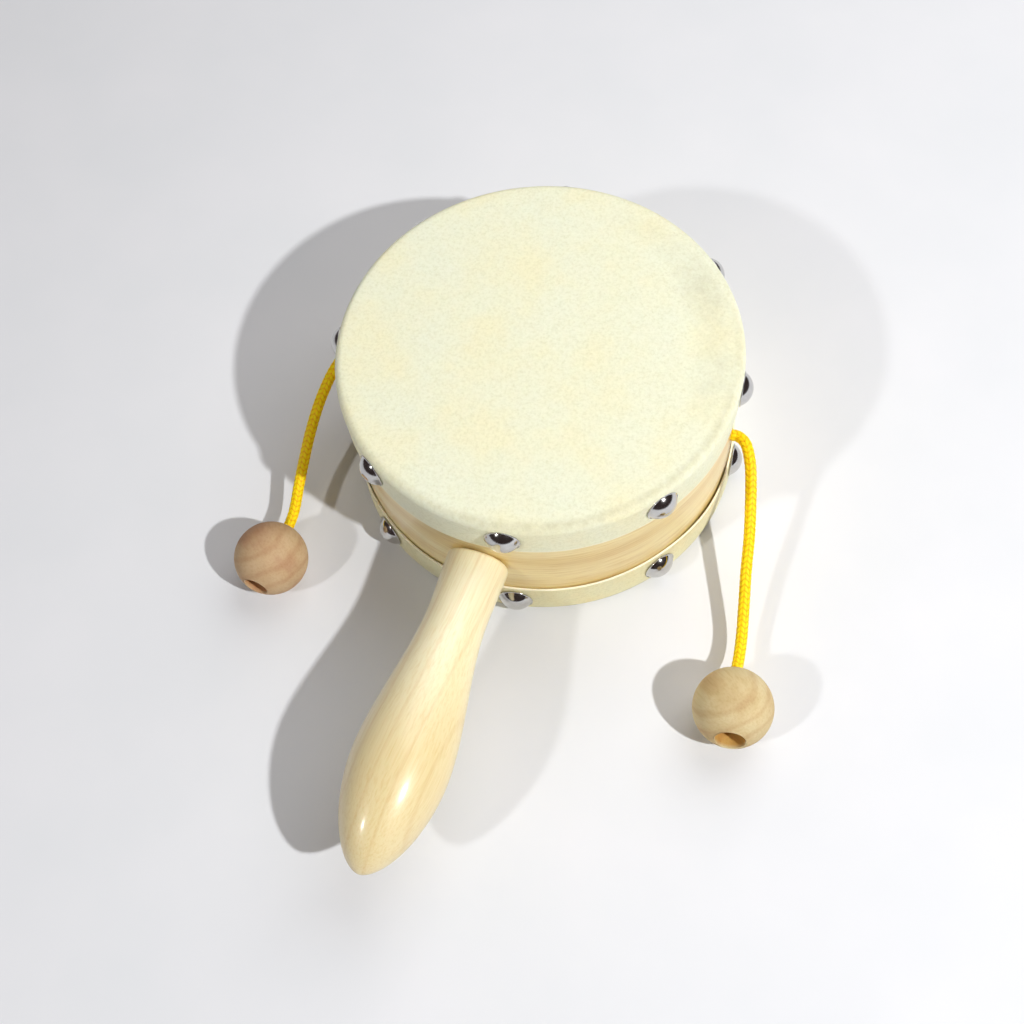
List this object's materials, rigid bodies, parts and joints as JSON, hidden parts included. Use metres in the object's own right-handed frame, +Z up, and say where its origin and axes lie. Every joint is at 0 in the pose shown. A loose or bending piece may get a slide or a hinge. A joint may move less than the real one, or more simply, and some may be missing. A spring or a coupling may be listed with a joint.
{
  "type": "handled rattle drum",
  "caption": "Small handled rattle drum with tacked skin heads, a turned wooden handle and wooden beads on short cords that strike the heads when it is twirled.",
  "frame": {"origin": "centre of the lower head's underside, which is the face that the drum stands on", "axes": "+Z up the drum's own axis to the upper head; the handle points along -Y; the two beads lie on the table at -X and +X"},
  "size_m": [0.1456, 0.1859, 0.047],
  "materials": {
    "shell_wood": "thin clear satin lacquer over pale figured wood",
    "skin": "cream rawhide, matt, faintly mottled, with a thin pale cut edge",
    "handle_wood": "clear lacquer over pale straight-grained wood",
    "bead_wood": "raw sanded wood with faint growth rings",
    "tack_chrome": "bright domed tack heads",
    "cord_braid": "round braided yellow cord, soft sheen"
  },
  "bodies": {
    "root": {"shell": "shell_wood", "head_lower": "skin", "head_upper": "skin", "tack_lower_1": "tack_chrome", "tack_lower_2": "tack_chrome", "tack_lower_3": "tack_chrome", "tack_lower_4": "tack_chrome", "tack_lower_5": "tack_chrome", "tack_lower_6": "tack_chrome", "tack_lower_7": "tack_chrome", "tack_lower_8": "tack_chrome", "tack_upper_1": "tack_chrome", "tack_upper_2": "tack_chrome", "tack_upper_3": "tack_chrome", "tack_upper_4": "tack_chrome", "tack_upper_5": "tack_chrome", "tack_upper_6": "tack_chrome", "tack_upper_7": "tack_chrome", "tack_upper_8": "tack_chrome", "handle": "handle_wood", "bead_left": "bead_wood", "bead_right": "bead_wood", "cord_left": "cord_braid", "cord_right": "cord_braid"}
  },
  "joints": []
}
